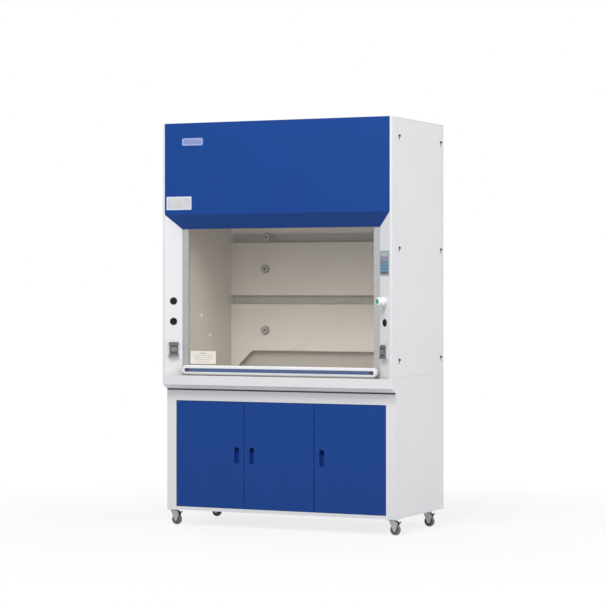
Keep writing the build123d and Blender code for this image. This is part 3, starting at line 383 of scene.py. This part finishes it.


# Panel fasteners: screws with tall, dull black heads hold the access panels. Behind each head
# lies a small flat, even grey patch, mostly below it, that is painted shadow.
black_plastic = plain_finish("moulded_black_plastic", "#121214", "#0D0D0F", 0.6, grain_mm=5, ior=1.3)
# Painted shadow: a flat grey patch behind and below each screw head
screw_shadow_paint = plain_finish("grey_painted_screw_shadow", "#9C9C9A", "#8E8E8C", 0.5, grain_mm=5)
finish_node("panel_screws", black_plastic, fold=0.0008)
screw_radius = 0.0065
screw_shadow_width = 0.015
screw_shadow_height = 0.032
screw_shadow_above = 0.009
screws_low, screws_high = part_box("panel_screws")
lowest_screw = screws_low[2] + screw_radius
highest_screw = screws_high[2] - screw_radius
screw_levels = (lowest_screw, (lowest_screw + highest_screw) / 2, highest_screw)
screw_depths = (screws_low[1] + screw_radius, screws_high[1] - screw_radius)
panel_faces = ((-1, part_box("access_panel_left")[0][0]), (1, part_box("access_panel_right")[1][0]))
for side, panel_face in panel_faces:
    for row, level in enumerate(screw_levels):
        screw_shadow_middle = level + screw_shadow_above - screw_shadow_height / 2
        for column, depth in enumerate(screw_depths):
            blank(f"panel_tab_{side + 1}_{row}_{column}",
                  rounded_outline(screw_shadow_width, screw_shadow_height, corner=0.005), (panel_face, depth, screw_shadow_middle),
                  screw_shadow_paint, "hood", thickness=0.0015, across=(0, side, 0))


# Castors: zinc-plated steel plates welded to the cupboard's floor, pressed forks plated the
# same way, wheels with a grey rubber tread, and black brake pedals. Rubber and plastic are
# dull beside the plating.
wheel_rubber = plain_finish("grey_rubber_tread", "#6F7072", "#5F6063", 0.6, grain_mm=5)
finish_node("castor_plates", zinc, fold=0.0005)
for corner_name in ("front_left", "front_right", "rear_left", "rear_right"):
    finish_node("castor_fork_" + corner_name, zinc, fold=0.0005)
    finish_node("castor_wheel_" + corner_name, wheel_rubber, fold=0.0008)
    finish_node("castor_brake_" + corner_name, black_plastic, fold=0.0005)


# Liners, ceiling and baffles: sheets of compact resin board, sawn to size. The board is
# smooth and beige grey. The rear liner behind the slots is duller, and painted darker as shade.
board = plain_finish("compact_resin_board", "#CFC5B8", "#C6BBAD", 0.45, grain_mm=125, relief=0.02)
# The rear liner's darker colour is painted shade behind the baffles
rear_liner_shade_paint = plain_finish(
    "compact_resin_board_painted_shade", "#ADA396", "#A1978A", 0.55, grain_mm=125, relief=0.02)
for name in ("liner_left", "liner_right", "ceiling", "baffle_lower", "baffle_upper", "baffle_top"):
    finish_node(name, board)
finish_node("rear_liner", rear_liner_shade_paint)


# Liner caps: two small bright white moulded caps over the fixings of the left liner, smooth
# and a little glossy.
def round_outline(radius, corners=40):
    """Points of a circle about its middle, anticlockwise."""
    angles = [2 * math.pi * step / corners for step in range(corners)]
    return [(radius * math.cos(angle), radius * math.sin(angle)) for angle in angles]


bright_plastic = plain_finish("moulded_bright_white_plastic", "#F2F2F3", "#EAEAEC", 0.35)
liner_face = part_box("liner_left")[1][0]
cap_radius = 0.010
for number, (depth, level) in enumerate(((-0.088, 1.226), (0.025, 1.107))):
    blank(f"liner_cap_{number}", round_outline(cap_radius), (liner_face, depth, level), bright_plastic,
          "hood", thickness=0.003, across=(0, 1, 0), rolled=0.001)


# Baffle fixings: round knobs of moulded nylon that hold the baffles off the rear liner. The
# nylon is a warm satin grey. Each face has a paler ring, which on the spacers is a painted
# highlight, and a dark disc of painted shade in its drive hole.
knob_nylon = plain_finish("moulded_warm_grey_nylon", "#837B76", "#776F6B", 0.5)
# Paler ring, which on the spacers is a painted highlight
pale_ring_and_highlight = plain_finish("pale_nylon_and_painted_highlight", "#A59D97", "#99918B", 0.45)
# Painted shade: a dark disc for the shade in each drive hole
drive_hole_shade = plain_finish("drive_hole_painted_shade", "#1E1A1B", "#171415", 0.8, ior=1.2)
finish_node("baffle_knobs", knob_nylon, fold=0.0008)
knob_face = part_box("baffle_knobs")[0][1]
drive_radius = 0.0085
# Row, distance from the middle, height and ring radius
fixings = (
    ("lower", 0.397, 1.134, 0.0162),
    ("upper", 0.397, 1.505, 0.0162),
    ("spacer", 0.388, 1.697, 0.0180),
)
for row, spread, level, ring_radius in fixings:
    for side in (-1, 1):
        place = (side * spread, knob_face, level)
        blank(f"{row}_fixing_ring_{side + 1}", round_outline(ring_radius), place, pale_ring_and_highlight,
              "hood", thickness=0.0012)
        blank(f"{row}_fixing_hole_shade_{side + 1}", round_outline(drive_radius, corners=6), place,
              drive_hole_shade, "hood", thickness=0.0020, rolled=0.0002)


# Ceiling lamp: a sealed housing that hangs by its rim in the ceiling, moulded in an even
# satin white plastic.
white_plastic = plain_finish("moulded_white_plastic", "#DEDEE2", "#D3D3D8", 0.45)
finish_node("lamp", white_plastic, fold=0.0005)


# Sash: a pane of toughened glass between an aluminium top rail and a white coated handle
# bar, in aluminium tracks. The glass is clear and colourless, and the anodised metal is a
# soft grey without a hard shine.
glass_tint = linear("#FBFCFC")
glass, tree = bare_material("clear_toughened_glass")
path = add_node(tree, "ShaderNodeLightPath")
pane = add_node(tree, "ShaderNodeBsdfPrincipled", {
    "Base Color": glass_tint, "Roughness": 0.02, "IOR": 1.5, "Transmission Weight": 1.0})
clear = add_node(tree, "ShaderNodeBsdfTransparent", {"Color": glass_tint})
# Light on its way to the chamber passes the pane, so that it throws no dark shadow
blend = add_node(tree, "ShaderNodeMixShader", {
    0: path.outputs["Is Shadow Ray"], 1: pane.outputs[0], 2: clear.outputs[0]})
add_node(tree, "ShaderNodeOutputMaterial", {"Surface": blend.outputs[0]})
finish_node("sash_glass", glass)

aluminium = plain_finish("anodised_aluminium", "#B2B2B3", "#A8A8AA", 0.42, metallic=0.55, grain_mm=11.11)
for name in ("sash_track_left", "sash_track_right", "sash_top_rail"):
    finish_node(name, aluminium, fold=0.0004)
white_coat = powder_coat("white_powder_coat_on_aluminium", "#E8E8EA", "#E0E0E3", 0.35)
finish_node("sash_handle", white_coat, fold=0.0006)


# Handle strip: a satin blue-grey plastic strip pressed into a groove along the handle bar. A
# moulded stop, dark violet and satin too, closes the groove at each end.
strip_plastic = plain_finish("blue_grey_strip_plastic", "#4A5F8A", "#435780", 0.4)
stop_plastic = plain_finish("moulded_dark_violet_plastic", "#34344A", "#2A2A3E", 0.5, grain_mm=5)
finish_node("handle_strip", strip_plastic)
stop_width = 0.026
strip_low, strip_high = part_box("handle_strip")
for side in (-1, 1):
    blank(f"handle_strip_stop_{side + 1}", rounded_outline(stop_width, height=0.019, corner=0.008),
          (side * (strip_high[0] - stop_width / 2), strip_low[1], (strip_low[2] + strip_high[2]) / 2),
          stop_plastic, "sash", thickness=0.0012)


# Sash sticker: a cream paper label on the lower left of the pane, matt, with blank ruled
# lines in grey ink where a lab writes its notes.
paper = plain_finish("cream_label_paper", "#E9E3DA", "#E1DBD1", 0.6, grain_mm=2.5)
rule_ink = plain_finish("grey_rule_ink", "#AAA39E", "#A09994", 0.6, grain_mm=2.5)
glass_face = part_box("sash_glass")[0][1]
label_x = -0.4952
label_z = 0.9845
blank("glass_label", rounded_outline(width=0.166, height=0.075, corner=0.002),
      (label_x, glass_face, label_z), paper, "sash", thickness=0.0003, rolled=0)
first_rule = 0.024
rule_step = 0.0118
rule_rounding = 0.45
# Length and weight of each ruled line, from the top
rules = ((0.046, 0.0045), (0.130, 0.002), (0.130, 0.002), (0.118, 0.002), (0.090, 0.002))
for row, (length, weight) in enumerate(rules):
    blank(f"glass_label_rule_{row}", rounded_outline(length, weight, corner=weight * rule_rounding),
          (label_x, glass_face, label_z + first_rule - rule_step * row), rule_ink,
          "sash", thickness=0.0005, rolled=0)


# Sash balance: a steel cable of six strands runs from each ear of the top rail over a nylon
# pulley to a primed steel counterweight. The strands catch the light in slanting ridges.
nylon = plain_finish("moulded_grey_nylon", "#9A9A9C", "#8C8C8F", 0.5)
weight_primer = plain_finish("primed_steel", "#5A5C60", "#4C4E52", 0.6)
cable_steel = plain_finish("stranded_steel_cable", "#9A9B9E", "#77787B", 0.4, metallic=1.0, grain_mm=1.11)
strands = 6
strand_groove = 0.8
cable_step = 0.004
cable_lay = 0.030
arc_steps = 24
rise_low, rise_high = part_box("sash_cables")
drop_low, drop_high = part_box("weight_cables")
cable_y = (rise_low[1] + rise_high[1]) / 2
cable_radius = (rise_high[1] - rise_low[1]) / 2


def laid_cable(name, line):
    """A cable laid from strands, swept along a line of points that bends in one x-z plane."""
    mesh = bmesh.new()
    rings = []
    travelled = 0.0
    for step, point in enumerate(line):
        before = Vector(line[max(step - 1, 0)])
        after = Vector(line[min(step + 1, len(line) - 1)])
        side = Vector((0, 1, 0))
        lift = side.cross((after - before).normalized())
        if step:
            travelled += (Vector(point) - Vector(line[step - 1])).length
        ring = []
        for corner in range(2 * strands):
            reach = cable_radius * (1.0 if corner % 2 else strand_groove)
            angle = math.pi * corner / strands + 2 * math.pi * travelled / cable_lay
            ring.append(mesh.verts.new(
                Vector(point) + side * reach * math.cos(angle) + lift * reach * math.sin(angle)))
        rings.append(ring)
    for low_ring, high_ring in zip(rings, rings[1:]):
        for corner in range(2 * strands):
            after = (corner + 1) % (2 * strands)
            mesh.faces.new((low_ring[corner], low_ring[after], high_ring[after], high_ring[corner]))
    mesh.faces.new(rings[0])
    mesh.faces.new(rings[-1])
    bmesh.ops.recalc_face_normals(mesh, faces=mesh.faces[:])
    return add_piece(name, mesh, cable_steel, "hood")


def upright(x, low, high):
    """Points of an upright run, one cable step apart."""
    count = max(1, round((high - low) / cable_step))
    return [(x, cable_y, low + (high - low) * step / count) for step in range(count + 1)]


def over_pulley(rise_x, drop_x, level):
    """Points of the half turn over a pulley, from the rising run to the dropping one."""
    points = []
    for step in range(arc_steps + 1):
        turn = math.pi * step / arc_steps
        points.append(((rise_x + drop_x) / 2 - (drop_x - rise_x) / 2 * math.cos(turn), cable_y,
                       level + abs(drop_x - rise_x) / 2 * math.sin(turn)))
    return points


for side, name in ((-1, "left"), (1, "right")):
    finish_node("pulley_" + name, nylon, fold=0.0008)
    finish_node("counterweight_" + name, weight_primer, fold=0.001)
    rise_x = side * (rise_high[0] - cable_radius)
    drop_x = side * (drop_high[0] - cable_radius)
    rise = laid_cable("sash_cable_" + name, upright(rise_x, rise_low[2], rise_high[2]))
    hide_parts("sash_cables")
    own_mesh(rise)
    drop = laid_cable("weight_cable_" + name, upright(drop_x, drop_low[2], drop_high[2]))
    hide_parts("weight_cables")
    laid_cable("pulley_cable_" + name, over_pulley(rise_x, drop_x, rise_high[2]))


# Services: socket boxes, blanking plugs and a valve on the bevelled faces of the posts, all
# moulded and satin. The boxes are white and the plugs black, and the bright white valve has
# a green cap in a pale green ring in the end of its knob.
green_plastic = plain_finish("moulded_green_plastic", "#2A8F60", "#1F7A50", 0.35)
green_ring = plain_finish("pale_green_ring", "#B9E6CC", "#A9DBBE", 0.4)
finish_node("socket_boxes", white_plastic, fold=0.0005)
finish_node("service_plugs", black_plastic, fold=0.0005)
for name in ("valve_body", "valve_knob"):
    finish_node(name, bright_plastic, fold=0.0012)

post_low, post_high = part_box("post_right")
bevel_depth = fascia_high[1] - fascia_low[1]
bevel_run = post_high[0] - post_low[0]
bevel_length = math.hypot(bevel_run, bevel_depth)
bevel_middle = (post_high[0] + post_low[0]) / 2


def bevel_across(side):
    """The direction across a post's bevelled face, from its left to its right."""
    return Vector((bevel_run, -side * bevel_depth, 0)) / bevel_length


def bevel_place(side, shift, level, lift):
    """A point on a post's bevelled face, shifted along it and lifted off it."""
    across = bevel_across(side)
    out = across.cross(Vector((0, 0, 1)))
    start = Vector((side * bevel_middle, fascia_face + bevel_depth / 2, level))
    return start + across * shift + out * lift


valve_low, valve_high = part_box("valve_body")
knob_end = 0.050
cap_sink = 0.0004
cap_place = bevel_place(1, 0, (valve_low[2] + valve_high[2]) / 2, knob_end - cap_sink)
right_across = bevel_across(1)
blank("valve_cap_ring", round_outline(radius=0.0200), cap_place, green_ring,
      "valve_knob", thickness=0.0012, across=right_across)
blank("valve_cap", round_outline(radius=0.0130), cap_place, green_plastic,
      "valve_knob", thickness=0.0022, across=right_across, rolled=0.0012)


# Socket covers: moulded flaps in a dull dark grey with a paler dished field. Darker bars across
# the head and above the flared lip, and a dark line round the field, are painted shade.
grey_cover = plain_finish("moulded_dark_grey_plastic", "#6C6D69", "#5F605D", 0.5, grain_mm=6.67)
# Painted shade: the head and foot bars and the frame line round the paler field
cover_shade_paint = plain_finish("grey_plastic_painted_shade", "#4A4B48", "#40413F", 0.6, grain_mm=6.67, ior=1.3)
cover_field = plain_finish("pale_grey_plastic", "#80817D", "#747571", 0.5, grain_mm=6.67)
cover_lift = 0.0181
# Name, finish, width, height, rise above the cover's middle and thickness
cover_parts = (
    ("field", cover_field, 0.034, 0.024, 0.000, 0.0012),
    ("head_shade", cover_shade_paint, 0.042, 0.006, 0.020, 0.0010),
    ("foot_shade", cover_shade_paint, 0.042, 0.005, -0.021, 0.0010),
    ("frame", cover_shade_paint, 0.039, 0.029, 0.000, 0.0006),
)
for side, name in ((-1, "left"), (1, "right")):
    cover = "socket_cover_" + name
    finish_node(cover, grey_cover, fold=0.0008)
    cover_low, cover_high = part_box(cover)
    level = (cover_low[2] + cover_high[2]) / 2
    for part, plastic, width, height, rise, thickness in cover_parts:
        blank(f"cover_{name}_{part}", rounded_outline(width, height, corner=0.002),
              bevel_place(side, 0, level + rise, cover_lift), plastic, cover,
              thickness, across=bevel_across(side), rolled=0)


# Control panel: a printed film under a moulded rim, with a pale display, a mauve band, a
# field of round teal keys and a dark foot line. The film is smooth and glossier than the
# rim, and nothing on it is lettered.
rim_plastic = plain_finish("moulded_panel_rim", "#9AA0A8", "#8E949C", 0.45)
display_film = plain_finish("pale_display_film", "#A9B8BB", "#9DAFB4", 0.25, grain_mm=33.33)
mauve_film = plain_finish("mauve_printed_film", "#8D8A9C", "#817E92", 0.35, grain_mm=33.33)
teal_film = plain_finish("teal_printed_film", "#4E7B97", "#416F8F", 0.35, grain_mm=33.33)
key_film = plain_finish("raised_key_film", "#6E9DB6", "#6391AC", 0.3)
foot_film = plain_finish("dark_printed_film", "#4A4F60", "#424757", 0.4, grain_mm=33.33)
finish_node("control_panel", rim_plastic, fold=0.0005)
panel_low, panel_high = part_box("control_panel")
panel_z = (panel_low[2] + panel_high[2]) / 2
panel_floor = 0.0041
film_width = 0.078
# Name, finish, height and rise above the panel's middle
films = (
    ("display", display_film, 0.022, 0.0485),
    ("band", mauve_film, 0.028, 0.0220),
    ("key_field", teal_film, 0.058, -0.0225),
    ("foot", foot_film, 0.008, -0.0570),
)
for name, film, height, rise in films:
    blank("panel_" + name, rounded_outline(film_width, height, corner=0.002),
          bevel_place(1, 0, panel_z + rise, panel_floor), film, "hood",
          thickness=0.0005, across=right_across, rolled=0)
key_rows = 3
key_columns = 4
first_key_x = -0.0285
first_key_rise = -0.0055
key_step = 0.019
key_row_step = 0.0175
for row in range(key_rows):
    for column in range(key_columns):
        key_place = bevel_place(1, first_key_x + key_step * column,
                                panel_z + first_key_rise - key_row_step * row, panel_floor)
        blank(f"panel_key_{row}_{column}", rounded_outline(width=0.013, height=0.012, corner=0.004),
              key_place, key_film, "hood", thickness=0.0014, across=right_across,
              rolled=0.0005)
